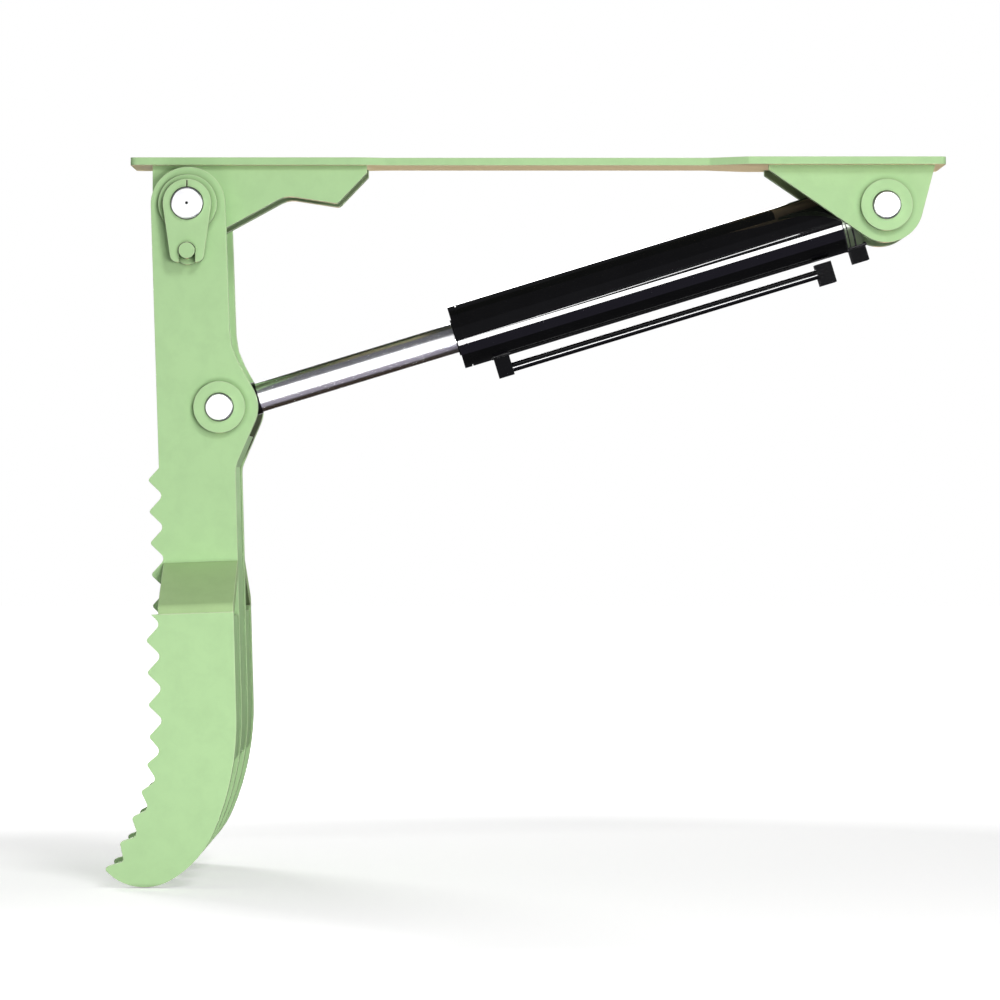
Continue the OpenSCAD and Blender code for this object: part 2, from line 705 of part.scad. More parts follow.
module barrel_cap() {
    color([0.45, 0.50, 0.44]) difference() {
        union() {
            rod_bar(cap_r, barrel_back, barrel_back + cap_disc_l - 3);
            on_cyl(barrel_back + cap_disc_l - 3) rotate([0, 90, 0]) rotate_extrude()
                polygon([[0, -0.5], [cap_r, -0.5], [cap_r, 0], [cap_r - 3, 3], [0, 3]]);
            rod_bar(bore_d / 2, barrel_back - 10, barrel_back + 1);
            on_cyl(cyl_len) bar_y(cap_eye_r, -cap_eye_w / 2, cap_eye_w / 2);
            on_cyl(barrel_back + cap_disc_l - 1)
                translate([0, -22, -cap_eye_r]) cube([barrel_tail - cap_disc_l, 44, 2 * cap_eye_r]);
        }
        on_cyl(cyl_len) bar_y(eye_bore_r, -cap_eye_w, cap_eye_w);
        rod_bar(oil_way_r, barrel_back - 11, cap_port_u);
        on_cyl(cap_port_u) translate([0, 0, -barrel_d]) cylinder(r = oil_way_r, h = barrel_d);
    }
}
module cap_bush() {
    color(bronze) on_cyl(cyl_len)
        tube_y(eye_bore_r, cyl_pin_d / 2 + pin_fit, -cap_eye_w / 2, cap_eye_w / 2);
}
module bracket_pin_core() {
    color(steel) on_cyl(cyl_len)
        bar_y(cyl_pin_d / 2 + pin_fit, -cap_eye_w / 2, cap_eye_w / 2);
}
// Faces that the hoses screw into, below the barrel's axis
cap_face = barrel_d / 2 + 16;
end_face = barrel_d / 2 + 30;
// The tube stops this far before the middle of its end block
seat_back = port_r + 0.9;
module port_hole(u, face, depth) {
    on_cyl(u) translate([0, 0, -face - 1]) cylinder(r = port_r, h = depth + 1);
}
// Steel block on the underside of the barrel, with an oil way down through it
module port_block(u, len_u, top, bottom, half_y) {
    on_cyl(u) translate([-len_u / 2, -half_y, -bottom]) cube([len_u, 2 * half_y, bottom - top]);
}
module head_port_block() {
    color(black) difference() {
        port_block(head_port_u, block_l - 1, barrel_d / 2 - 6, tube_drop + 0.75 * tube_d, block_w / 2);
        rod_bar(barrel_d / 2, head_port_u - 30, head_port_u + 30);
        rod_bar_at(tube_d / 2, -tube_drop, head_port_u, head_port_u + 12);
        on_cyl(head_port_u) translate([0, 0, -tube_drop]) cylinder(r = 4, h = 30);
    }
}
// Bar along the cylinder at another height from its axis
module rod_bar_at(r, v, u0, u1) {
    on_cyl(u0) translate([0, 0, v]) rotate([0, 90, 0]) cylinder(r = r, h = u1 - u0);
}
module transfer_tube() {
    color(black) difference() {
        rod_bar_at(tube_d / 2, -tube_drop, head_port_u + 2, end_block_u - seat_back);
        rod_bar_at(tube_d / 2 - tube_wall, -tube_drop, head_port_u, end_block_u + 5);
    }
}
module tube_end_block() {
    color(black) difference() {
        port_block(end_block_u, block_l, barrel_d / 2 + 4, end_face, block_w / 2);
        rod_bar_at(tube_d / 2, -tube_drop, end_block_u - block_l, end_block_u - seat_back);
        rod_bar_at(tube_d / 2 - tube_wall, -tube_drop, end_block_u - block_l, end_block_u + 2);
        port_hole(end_block_u, end_face, port_depth);
        on_cyl(end_block_u) translate([0, 0, -end_face]) cylinder(r = oil_way_r, h = end_face - tube_drop);
    }
}
module cap_port_block() {
    color(black) difference() {
        port_block(cap_port_u, block_l, bore_d / 2 - 2, cap_face, block_w / 2);
        rod_bar(cap_r, cap_port_u - block_l, cap_port_u + block_l);
        port_hole(cap_port_u, cap_face, port_depth);
        on_cyl(cap_port_u) translate([0, 0, -cap_face]) cylinder(r = oil_way_r, h = cap_face);
    }
}

base_plate();
pivot_lug(false);  // pivot_lug_left
pivot_lug(true);  // pivot_lug_right
pivot_hub();
pivot_bush(false);  // pivot_bush_left
pivot_bush(true);  // pivot_bush_right
bracket_lug(false);  // bracket_lug_left
bracket_lug(true);  // bracket_lug_right
bracket_boss(false);  // bracket_boss_left
bracket_boss(true);  // bracket_boss_right
bracket_pin_left_end();
bracket_pin_right_end();
bracket_pin_flag();
bracket_flag_stud();
side_plate(false);  // side_plate_left
side_plate(true);  // side_plate_right
outer_tine(false);  // outer_tine_left
outer_tine(true);  // outer_tine_right
flare_plate(false);  // flare_plate_left
flare_plate(true);  // flare_plate_right
back_plate_centre();
back_plate_wing(false);  // back_plate_left
back_plate_wing(true);  // back_plate_right
pivot_boss(false);  // pivot_boss_left
pivot_boss(true);  // pivot_boss_right
rod_boss_outer(false);  // rod_boss_outer_left
rod_boss_outer(true);  // rod_boss_outer_right
rod_boss_inner(false);  // rod_boss_inner_left
rod_boss_inner(true);  // rod_boss_inner_right
pivot_pin();
pivot_pin_flag();
pivot_flag_stud();
pivot_flag_washer();
rod_pin();
rod_pin_flag();
rod_flag_stud();
rod_eye();
rod_bush();
piston_rod();
piston();
piston_seal();
piston_nut();
barrel_tube();
gland();
gland_wiper();
rod_seal();
barrel_cap();
cap_bush();
bracket_pin_core();
head_port_block();
cap_port_block();
transfer_tube();
tube_end_block();
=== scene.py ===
"""Looks of the hydraulic thumb: paint, chrome, weld beads and small details on the CAD model."""
import json
import math
import random

import bpy
import bmesh
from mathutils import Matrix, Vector


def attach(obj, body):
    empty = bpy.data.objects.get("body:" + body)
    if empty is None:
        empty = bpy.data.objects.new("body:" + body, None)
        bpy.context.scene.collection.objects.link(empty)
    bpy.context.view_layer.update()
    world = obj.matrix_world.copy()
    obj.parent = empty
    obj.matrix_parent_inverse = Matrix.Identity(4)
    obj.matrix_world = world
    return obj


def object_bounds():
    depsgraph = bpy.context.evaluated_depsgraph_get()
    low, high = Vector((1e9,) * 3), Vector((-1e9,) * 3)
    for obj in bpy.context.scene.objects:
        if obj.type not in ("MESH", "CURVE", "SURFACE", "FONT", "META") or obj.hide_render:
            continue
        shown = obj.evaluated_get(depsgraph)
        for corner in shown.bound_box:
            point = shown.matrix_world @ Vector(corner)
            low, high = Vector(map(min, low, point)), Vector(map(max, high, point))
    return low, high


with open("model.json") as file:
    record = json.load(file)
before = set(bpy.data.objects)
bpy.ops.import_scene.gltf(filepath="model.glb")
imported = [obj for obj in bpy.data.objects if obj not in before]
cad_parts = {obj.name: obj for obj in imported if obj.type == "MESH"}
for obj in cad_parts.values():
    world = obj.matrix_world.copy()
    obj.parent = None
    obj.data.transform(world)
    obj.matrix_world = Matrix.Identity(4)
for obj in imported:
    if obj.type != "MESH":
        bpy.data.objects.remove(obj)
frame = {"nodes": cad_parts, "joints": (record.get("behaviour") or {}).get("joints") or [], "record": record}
cad_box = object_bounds()
nodes = frame["nodes"]
joint = {j["name"]: j for j in frame["joints"]}
scene = bpy.context.scene

# Places that the pieces are set from, in metres, read from the frame. The bracket pin is at the
# pivot pin's place with X reversed.
PIVOT = Vector(joint["thumb_swing"]["pos_m"])
ROD_PIN = Vector(joint["rod_pivot"]["pos_m"])
ALONG = Vector(joint["cylinder_stroke"]["axis"]).normalized()
BRACKET = Vector((-PIVOT.x, 0.0, PIVOT.z))
UP_CYL = Vector((-ALONG.z, 0.0, ALONG.x))
ACROSS = Vector((0.0, 1.0, 0.0))


# ---------------------------------------------------------------- materials
def bare_tree(owner, kind):
    """Node tree of a material or world with nothing but its output node of this kind."""
    owner.use_nodes = True
    tree = owner.node_tree
    for n in list(tree.nodes):
        if n.type != kind:
            tree.nodes.remove(n)
    return tree, next(n for n in tree.nodes if n.type == kind)


def new_material(name):
    mat = bpy.data.materials.new(name)
    tree, out = bare_tree(mat, "OUTPUT_MATERIAL")
    shader = tree.nodes.new("ShaderNodeBsdfPrincipled")
    tree.links.new(shader.outputs["BSDF"], out.inputs["Surface"])
    return mat, tree, shader


def combine(tree, operation, a, b):
    """A math node over two links."""
    node = tree.nodes.new("ShaderNodeMath")
    node.operation = operation
    tree.links.new(a, node.inputs[0])
    tree.links.new(b, node.inputs[1])
    return node.outputs[0]


def noise(tree, scale, detail=4.0, rough=0.5, stretch=(1, 1, 1), distortion=0.0):
    """A noise texture in object space, so it stays on the piece."""
    coord = tree.nodes.new("ShaderNodeTexCoord")
    mapping = tree.nodes.new("ShaderNodeMapping")
    mapping.inputs["Scale"].default_value = stretch
    tex = tree.nodes.new("ShaderNodeTexNoise")
    tex.inputs["Scale"].default_value = scale
    tex.inputs["Detail"].default_value = detail
    tex.inputs["Roughness"].default_value = rough
    tex.inputs["Distortion"].default_value = distortion
    tree.links.new(coord.outputs["Object"], mapping.inputs["Vector"])
    tree.links.new(mapping.outputs["Vector"], tex.inputs["Vector"])
    return tex.outputs["Fac"]


def ramp(tree, source, low, high, top):
    """From 0 at low to the share top at high."""
    node = tree.nodes.new("ShaderNodeValToRGB")
    node.color_ramp.elements[0].position = low
    node.color_ramp.elements[1].position = high
    node.color_ramp.elements[0].color = (0, 0, 0, 1)
    node.color_ramp.elements[1].color = (top, top, top, 1)
    tree.links.new(source, node.inputs["Fac"])
    return node.outputs["Color"]


def mix(tree, fac, a, b):
    """Colour mix; each input is a number, a colour or a link."""
    node = tree.nodes.new("ShaderNodeMix")
    node.data_type = "RGBA"
    for socket, value in ((node.inputs[0], fac), (node.inputs[6], a), (node.inputs[7], b)):
        if isinstance(value, (int, float)):
            socket.default_value = value
        elif isinstance(value, tuple):
            socket.default_value = (*value, 1)
        else:
            tree.links.new(value, socket)
    return node.outputs[2]


def map_range(tree, source, lo, hi, to_lo, to_hi):
    node = tree.nodes.new("ShaderNodeMapRange")
    node.inputs["From Min"].default_value = lo
    node.inputs["From Max"].default_value = hi
    node.inputs["To Min"].default_value = to_lo
    node.inputs["To Max"].default_value = to_hi
    tree.links.new(source, node.inputs["Value"])
    return node.outputs["Result"]


def edge_mask(tree, radius):
    """White along convex edges: where a rounded normal departs from the true one."""
    bevel = tree.nodes.new("ShaderNodeBevel")
    bevel.samples = 6
    bevel.inputs["Radius"].default_value = radius
    geo = tree.nodes.new("ShaderNodeNewGeometry")
    dot = tree.nodes.new("ShaderNodeVectorMath")
    dot.operation = "DOT_PRODUCT"
    tree.links.new(bevel.outputs["Normal"], dot.inputs[0])
    tree.links.new(geo.outputs["True Normal"], dot.inputs[1])
    return map_range(tree, dot.outputs["Value"], 0.995, 0.80, 0.0, 1.0)


def bump(tree, height, strength, distance, normal=None):
    node = tree.nodes.new("ShaderNodeBump")
    node.inputs["Strength"].default_value = strength
    node.inputs["Distance"].default_value = distance
    tree.links.new(height, node.inputs["Height"])
    if normal is not None:
        tree.links.new(normal, node.inputs["Normal"])
    return node.outputs["Normal"]


def occlusion(tree, distance):
    """Painted shade in corners, from the geometry alone."""
    ao = tree.nodes.new("ShaderNodeAmbientOcclusion")
    ao.samples = 8
    ao.inputs["Distance"].default_value = distance
    return ao.outputs["AO"]


GREEN = (0.455, 0.685, 0.350)
# colour of the lighter edges: partly wear, partly a painted highlight
GREEN_LIGHT = (0.84, 0.88, 0.66)
# colour of the painted shade in corners
GREEN_SHADE = (0.075, 0.135, 0.045)
# colour of the painted shade on faces that look down or inward
PAINTED_SHADE_DARK = (0.040, 0.036, 0.026)
# colour of the painted warm bounce light on flat undersides
PAINTED_UNDERSIDE_BOUNCE = (0.86, 0.68, 0.42)
# reach of the painted shade round the rod pin
POCKET_SHADE_R = 0.060
# radius of the lighter edges (partly wear, partly a painted highlight) and of the rounded normals
EDGE_WEAR_AND_HIGHLIGHT_R, ROUND_EDGE = 0.0014, 0.0012


def green_paint(name="green_paint", base=GREEN, pocket=0.0, pocket_shade_at=None):
    """Satin pale green paint: mottled and lighter along rounded edges (partly wear, partly a painted
    highlight), with painted shade in corners and on faces that look down, and a painted warm bounce
    light on flat undersides. A pocket share above 0 also puts painted shade on the faces that look
    at the middle plane of the object. With a place given for it, in the object's own coordinates,
    only the part round and below that place gets this painted shade."""
    mat, tree, sh = new_material(name)
    cloud = noise(tree, 5.0, 3.0, 0.55)
    mottle = noise(tree, 42.0, 5.0, 0.62, distortion=0.3)
    fine = noise(tree, 260.0, 3.0, 0.6)
    tint = mix(tree, ramp(tree, cloud, 0.30, 0.72, 0.55), base,
               tuple(c * 1.10 for c in base))
    tint = mix(tree, ramp(tree, mottle, 0.42, 0.66, 0.30), tint,
               tuple(c * 0.88 for c in base))
    # painted shade: darker in corners, from ambient occlusion
    corner = map_range(tree, occlusion(tree, 0.010), 0.30, 0.85, 0.75, 0.0)
    tint = mix(tree, corner, tint, GREEN_SHADE)
    # faces that look down get painted shade; flat undersides get a tan painted warm bounce light
    coord = tree.nodes.new("ShaderNodeTexCoord")
    facing = tree.nodes.new("ShaderNodeSeparateXYZ")
    tree.links.new(coord.outputs["Normal"], facing.inputs["Vector"])
    tint = mix(tree, map_range(tree, facing.outputs["Z"], -0.25, -0.60, 0.0, 0.62), tint, PAINTED_SHADE_DARK)
    # painted shade on the faces that look at the middle plane
    if pocket:
        place = tree.nodes.new("ShaderNodeSeparateXYZ")
        tree.links.new(coord.outputs["Object"], place.inputs["Vector"])
        inward = combine(tree, "MULTIPLY", place.outputs["Y"], facing.outputs["Y"])
        share = map_range(tree, inward, -0.010, -0.025, 0.0, pocket)
        if pocket_shade_at is not None:
            away = tree.nodes.new("ShaderNodeVectorMath")
            away.operation = "DISTANCE"
            flatten = tree.nodes.new("ShaderNodeCombineXYZ")
            tree.links.new(place.outputs["X"], flatten.inputs["X"])
            tree.links.new(place.outputs["Z"], flatten.inputs["Z"])
            tree.links.new(flatten.outputs["Vector"], away.inputs[0])
            away.inputs[1].default_value = (pocket_shade_at.x, 0.0, pocket_shade_at.z)
            near = map_range(tree, away.outputs["Value"], POCKET_SHADE_R - 0.006, POCKET_SHADE_R + 0.006,
                             1.0, 0.0)
            below = map_range(tree, place.outputs["Z"], pocket_shade_at.z + 0.012, pocket_shade_at.z - 0.004,
                              0.0, 1.0)
            for part in (near, below):
                share = combine(tree, "MULTIPLY", share, part)
        tint = mix(tree, share, tint, PAINTED_SHADE_DARK)
    # painted warm bounce light: flat undersides turn tan
    flat = map_range(tree, facing.outputs["Z"], -0.97, -0.995, 0.0, 1.0)
    tint = mix(tree, flat, tint, PAINTED_UNDERSIDE_BOUNCE)
    # lighter along convex edges: partly wear, partly a painted highlight
    edge = edge_mask(tree, EDGE_WEAR_AND_HIGHLIGHT_R)
    tint = mix(tree, mix(tree, 0.75, (0, 0, 0), edge), tint, GREEN_LIGHT)
    tree.links.new(tint, sh.inputs["Base Color"])
    tree.links.new(map_range(tree, mottle, 0.3, 0.7, 0.54, 0.66), sh.inputs["Roughness"])
    rounded = tree.nodes.new("ShaderNodeBevel")
    rounded.samples = 6
    rounded.inputs["Radius"].default_value = ROUND_EDGE
    n = bump(tree, mottle, 0.05, 0.0008, rounded.outputs["Normal"])
    n = bump(tree, fine, 0.06, 0.00012, n)
    tree.links.new(n, sh.inputs["Normal"])
    sh.inputs["Specular IOR Level"].default_value = 0.08
    return mat


def black_gloss(name="black_gloss", base=(0.0035, 0.0035, 0.004), rough=0.03, level=0.5):
    mat, tree, sh = new_material(name)
    haze = noise(tree, 30.0, 4.0, 0.6)
    peel = noise(tree, 420.0, 2.0, 0.5)
    tint = mix(tree, ramp(tree, haze, 0.4, 0.75, 0.5), base,
               tuple(c * 1.8 for c in base))
    edge = edge_mask(tree, 0.0008)
    tint = mix(tree, mix(tree, 0.5, (0, 0, 0), edge), tint, tuple(0.02 + c for c in base))
    tree.links.new(tint, sh.inputs["Base Color"])
    tree.links.new(map_range(tree, haze, 0.3, 0.75, rough, rough + 0.02), sh.inputs["Roughness"])
    tree.links.new(bump(tree, peel, 0.02, 0.00003), sh.inputs["Normal"])
    sh.inputs["Specular IOR Level"].default_value = level
    return mat


def metal(name, base, rough, grain=(1, 1, 1), grain_scale=300.0, grain_depth=0.00003, corner_shade_share=0.0):
    """Bare metal with a fine grain and painted shade in its corners."""
    mat, tree, sh = new_material(name)
    line = noise(tree, grain_scale, 3.0, 0.5, stretch=grain)
    cloud = noise(tree, 25.0, 3.0, 0.5)
    tint = mix(tree, ramp(tree, cloud, 0.35, 0.75, 0.6), base,
               tuple(c * 0.86 for c in base))
    if corner_shade_share:
        # painted shade: darker in the corners, from ambient occlusion
        corner_shade_tint = map_range(tree, occlusion(tree, 0.006), 0.4, 0.95, corner_shade_share, 0.0)
        tint = mix(tree, corner_shade_tint, tint, tuple(c * 0.2 for c in base))
    tree.links.new(tint, sh.inputs["Base Color"])
    sh.inputs["Metallic"].default_value = 1.0
    tree.links.new(map_range(tree, line, 0.3, 0.7, rough, rough + 0.10), sh.inputs["Roughness"])
    tree.links.new(bump(tree, line, 0.15, grain_depth), sh.inputs["Normal"])
    return mat


def matt(name, base, rough):
    mat, tree, sh = new_material(name)
    grit = noise(tree, 500.0, 4.0, 0.6)
    tint = mix(tree, ramp(tree, grit, 0.4, 0.7, 0.6), base,
               tuple(c * 1.6 for c in base))
    tree.links.new(tint, sh.inputs["Base Color"])
    tree.links.new(map_range(tree, grit, 0.3, 0.7, rough, rough + 0.15), sh.inputs["Roughness"])
    tree.links.new(bump(tree, grit, 0.2, 0.00008), sh.inputs["Normal"])
    sh.inputs["Specular IOR Level"].default_value = 0.1
    return mat


MATERIALS = {
    "green_paint": green_paint(),
    "black_paint": black_gloss(),
    "chrome": metal("chrome", (0.88, 0.88, 0.90), 0.17, grain=(0.2, 1, 1), grain_scale=900.0,
                    grain_depth=0.0000003),
    # the steel and the bronze carry painted shade in their corners
    "ground_steel": metal("ground_steel", (0.83, 0.83, 0.84), 0.30, grain_scale=700.0, corner_shade_share=0.5),
    "bronze": metal("bronze", (0.62, 0.42, 0.20), 0.32, corner_shade_share=0.4),
    "seal_rubber": matt("seal_rubber", (0.012, 0.012, 0.013), 0.55),
    "cast_cap": black_gloss("cast_cap", (0.125, 0.16, 0.10), 0.22, 0.5),
}


def smooth(mesh, sharp_degrees):
    for poly in mesh.polygons:
        poly.use_smooth = True
    mesh.set_sharp_from_angle(angle=math.radians(sharp_degrees))


slot_of = {s["node"]: s["material_slot"] for s in frame["record"]["subparts"]}
# the lugs carry painted shade on the faces that look inward
lug_paint = green_paint("green_paint_lugs", pocket=0.75)
# the flare plates get a darker copy of the green paint: painted shade on their upward slopes
flare_paint_shaded = green_paint("green_paint_flares_shaded", base=(0.405, 0.585, 0.280))
for name, obj in nodes.items():
    obj.data.materials.clear()
    if name.startswith("side_plate"):
        # the side plates carry painted shade on their inward faces, round and below the rod pin
        rod_pin_there = obj.matrix_world.inverted() @ ROD_PIN
        obj.data.materials.append(green_paint("green_paint_" + name, pocket=0.93,
                                              pocket_shade_at=rod_pin_there))
    elif "_lug_" in name:
        obj.data.materials.append(lug_paint)
    elif name.startswith("flare_plate"):
        obj.data.materials.append(flare_paint_shaded)
    else:
        obj.data.materials.append(MATERIALS[slot_of[name]])
    smooth(obj.data, 24)


# ---------------------------------------------------------------- pieces that the solids leave out
def place_piece(name, mesh_bm, body, slot):
    mesh = bpy.data.meshes.new(name)
    bmesh.ops.recalc_face_normals(mesh_bm, faces=mesh_bm.faces)
    mesh_bm.to_mesh(mesh)
    mesh_bm.free()
    smooth(mesh, 35)
    obj = bpy.data.objects.new(name, mesh)
    scene.collection.objects.link(obj)
    mesh.materials.append(MATERIALS[slot])
    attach(obj, body)
    return obj


def box_of(name):
    obj = nodes[name]
    corners = [obj.matrix_world @ Vector(c) for c in obj.bound_box]
    return (Vector([min(c[i] for c in corners) for i in range(3)]),
            Vector([max(c[i] for c in corners) for i in range(3)]))


def lathe(name, centre, axis, profile, body, slot, seg=96):
    """Closed ring or disc turned from (distance along the axis, radius) points."""
    axis = axis.normalized()
    side = axis.cross(Vector((0.31, 0.17, 0.93))).normalized()
    other = axis.cross(side)
    bm = bmesh.new()
    rings = []
    for u, r in profile:
        if r < 1e-6:
            rings.append([bm.verts.new(centre + axis * u)] * seg)
            continue
        rings.append([bm.verts.new(centre + axis * u
                                   + r * (side * math.cos(2 * math.pi * k / seg)
                                          + other * math.sin(2 * math.pi * k / seg)))
                      for k in range(seg)])
    loops = list(zip(rings, rings[1:]))
    if profile[0][1] > 1e-6 and profile[-1][1] > 1e-6:
        loops.append((rings[-1], rings[0]))
    for a, b in loops:
        for k in range(seg):
            corners = []
            for v in (a[k], a[(k + 1) % seg], b[(k + 1) % seg], b[k]):
                if v not in corners:
                    corners.append(v)
            if len(corners) > 2:
                bm.faces.new(corners)
    place_piece(name, bm, body, slot)


def bead(name, path, r, body, slot, closed=False, pitch=0.0035, seed=1):
    """Weld bead: a round string with the ripples of the weld pool, laid along a path."""
    rnd = random.Random(seed)
    points = [Vector(q) for q in path] + ([Vector(path[0])] if closed else [])
    fine = []
    for a, b in zip(points, points[1:]):
        n = max(1, int((b - a).length / (pitch / 4)))
        fine += [a.lerp(b, k / n) for k in range(n)]
    if not closed:
        fine.append(points[-1])
    bm = bmesh.new()
    rings, count, sides, run = [], len(fine), 10, 0.0
    wobble = [rnd.uniform(0.93, 1.07) for _ in range(64)]
    for i, at in enumerate(fine):
        nxt = fine[(i + 1) % count] if closed else fine[min(i + 1, count - 1)]
        prv = fine[i - 1] if closed or i else fine[0]
        way = (nxt - prv).normalized()
        run += (at - fine[i - 1]).length if i else 0.0
        phase = (run / pitch) % 1.0
        ripple = 0.90 + 0.16 * math.sqrt(max(0.0, 1 - (2 * phase - 1) ** 2))
        size = r * ripple * wobble[int(run / pitch) % 64]
        if not closed and i in (0, count - 1):
            size *= 0.4
        ref = Vector((0.13, 0.21, 0.97)) if abs(way.z) < 0.9 else Vector((0.97, 0.21, 0.13))
        u = way.cross(ref).normalized()
        v = way.cross(u)
        rings.append([bm.verts.new(at + size * (u * math.cos(2 * math.pi * k / sides)
                                                + v * math.sin(2 * math.pi * k / sides)))
                      for k in range(sides)])
    pairs = list(zip(rings, rings[1:] + ([rings[0]] if closed else [])))
    for a, b in pairs:
        # the two rings of a closed bead may start at different turns, so the nearest corner is met
        shift = min(range(sides), key=lambda k: (a[0].co - b[k].co).length)
        for k in range(sides):
            bm.faces.new((a[k], a[(k + 1) % sides],
                          b[(k + 1 + shift) % sides], b[(k + shift) % sides]))
    if not closed:
        bm.faces.new(rings[0])
        bm.faces.new(rings[-1])
    return place_piece(name, bm, body, slot)


# Black disc sunk in the centre hole of the thumb pivot pin: painted shade of the hole
HOLE_SHADE_R, HOLE_SHADE_DEEP, HOLE_SHADE_SUNK = 0.00175, 0.0012, 0.0008
front = box_of("pivot_pin")[0].y
lathe("pin_hole_painted_shade", Vector((PIVOT.x, front + HOLE_SHADE_SUNK, PIVOT.z)), ACROSS,
      [(0.0, 0.0), (0.0, HOLE_SHADE_R), (HOLE_SHADE_DEEP, HOLE_SHADE_R), (HOLE_SHADE_DEEP, 0.0)], "thumb", "seal_rubber",
      seg=32)

# Dark ring round each pin, where it comes out of its boss or flag: painted shade of the gap round the pin
LINE_FOOT, LINE_TOP = 0.00002, 0.0003
LINE_IN, LINE_OUT_TOP, LINE_OUT = 0.00005, 0.0009, 0.0011
for name, node, side, face, body in (
        ("pivot_left", "pivot_pin", -1, "pivot_pin_flag", "thumb"),
        ("pivot_right", "pivot_pin", 1, "pivot_boss_right", "thumb"),
        ("rod_left", "rod_pin", -1, "rod_boss_outer_left", "thumb"),
        ("rod_right", "rod_pin", 1, "rod_pin_flag", "thumb"),
        ("bracket_left", "bracket_pin_left_end", -1, "bracket_boss_left", "base"),
        ("bracket_right", "bracket_pin_right_end", 1, "bracket_pin_flag", "base")):
    lo, hi = box_of(node)
    lip = box_of(face)[0 if side < 0 else 1].y
    r = (hi.x - lo.x) / 2
    lathe("pin_line_" + name, Vector(((lo.x + hi.x) / 2, lip, (lo.z + hi.z) / 2)), side * ACROSS,
          [(LINE_FOOT, r + LINE_IN), (LINE_TOP, r + LINE_IN), (LINE_TOP, r + LINE_OUT_TOP),
           (LINE_FOOT, r + LINE_OUT)], body, "seal_rubber")

# Two narrow rings at the rear end of the barrel and a groove line in the cap
REAR_TO_PIN = 0.055
barrel_r = box_of("barrel_tube")[1].y
rear = ROD_PIN + ALONG * ((BRACKET - ROD_PIN).length - REAR_TO_PIN)
for k, back in enumerate((-0.0032, 0.0008)):
    lathe("barrel_ring_%d" % (k + 1), rear - ALONG * back, ALONG,
          [(-0.0006, barrel_r - 0.0002), (-0.0004, barrel_r + 0.0005), (0.0004, barrel_r + 0.0005),
           (0.0006, barrel_r - 0.0002)], "barrel", "seal_rubber")
lathe("cap_groove_ring", rear + ALONG * 0.0098, ALONG,
      [(-0.0011, barrel_r - 0.0011), (-0.0011, barrel_r - 0.0008), (0.0011, barrel_r - 0.0008),
       (0.0011, barrel_r - 0.0011)], "barrel", "seal_rubber")

# Weld beads between the lugs and the base plate, on the sides that face each other
LUG_BEAD_R, LUG_BEAD_INSET = 0.0032, 0.012
plate_under = box_of("base_plate")[0].z
for name in ("pivot_lug_left", "pivot_lug_right", "bracket_lug_left", "bracket_lug_right"):
    lo, hi = box_of(name)
    inner = hi.y if hi.y < 0 else lo.y
    bead("weld_" + name, [(lo.x + LUG_BEAD_INSET, inner, plate_under),
                          (hi.x - LUG_BEAD_INSET, inner, plate_under)],
         LUG_BEAD_R, "base", "green_paint", seed=len(name))

# Weld beads at the roots of the port blocks, in a matt black of their own
PORT_BEAD_R, PORT_BEAD_PITCH = 0.0024, 0.003
PORT_BEAD_U, PORT_BEAD_Y = 0.0102, 0.0130
bead_paint = black_gloss("black_paint_beads", rough=0.5, level=0.1)
for name in ("head_port_block", "cap_port_block"):
    lo, hi = box_of(name)
    centre = (lo + hi) / 2
    along = (centre - ROD_PIN).dot(ALONG)
    root = ROD_PIN + ALONG * along
    path = []
    for su, sy in ((-1, -1), (1, -1), (1, 1), (-1, 1)):
        y = sy * PORT_BEAD_Y
        drop = math.sqrt(barrel_r ** 2 - y ** 2) - 0.0002 - (0.001 if name.startswith("cap") else 0)
        path.append(root + ALONG * (su * PORT_BEAD_U) - UP_CYL * drop + ACROSS * y)
    weld = bead("weld_" + name, path, PORT_BEAD_R, "barrel", "black_paint", closed=True,
                pitch=PORT_BEAD_PITCH, seed=7)
    weld.data.materials[0] = bead_paint


# ---------------------------------------------------------------- stage
FLOOR_HALF = 14.0
FLOOR_GAP = 0.001
FLOOR_WHITE = 0.37
ROOM_LIGHT = 0.22
QUAD = [(0, 1, 2, 3)]


def seen_directly(tree):
    """1 for camera, mirror and glass rays, which see the plain white surroundings."""
    path = tree.nodes.new("ShaderNodeLightPath")
    total = path.outputs["Is Camera Ray"]
    for other in ("Is Glossy Ray", "Is Transmission Ray"):
        total = combine(tree, "MAXIMUM", total, path.outputs[other])
    return total


